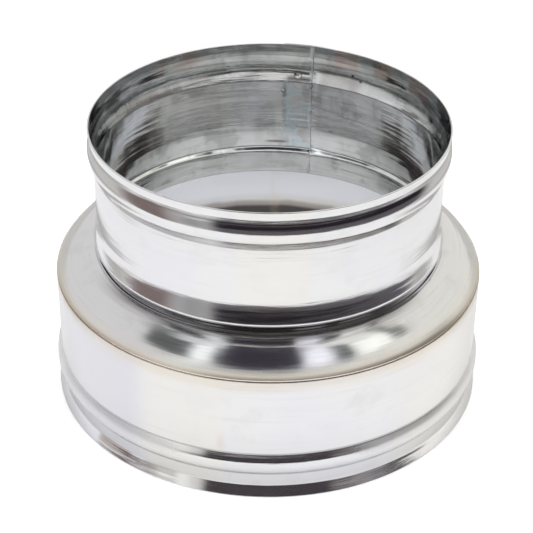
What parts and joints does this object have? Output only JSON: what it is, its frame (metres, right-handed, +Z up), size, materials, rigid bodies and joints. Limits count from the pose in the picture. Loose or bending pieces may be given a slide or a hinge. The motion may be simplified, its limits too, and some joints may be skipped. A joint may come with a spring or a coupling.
{
  "type": "flue pipe adapter",
  "caption": "Stainless sheet-metal flue adapter: a narrow beaded collar rising from a domed shoulder on a wider beaded skirt, to join round ducts of different bores.",
  "frame": {"origin": "on the axis, in the plane of the foot rim that it stands on", "axes": "+Z up along the axis from the skirt to the collar, -Y towards the camera of the picture"},
  "size_m": [0.1544, 0.1544, 0.1022],
  "materials": {
    "collar_steel": "bright rolled stainless steel",
    "shoulder_steel": "bright pressed stainless steel with a faint straw tint at the weld",
    "skirt_steel": "bright rolled stainless steel, finely brushed round the wall"
  },
  "bodies": {
    "root": {"collar_pipe": "collar_steel", "shoulder_ring": "shoulder_steel", "skirt": "skirt_steel"}
  },
  "joints": []
}
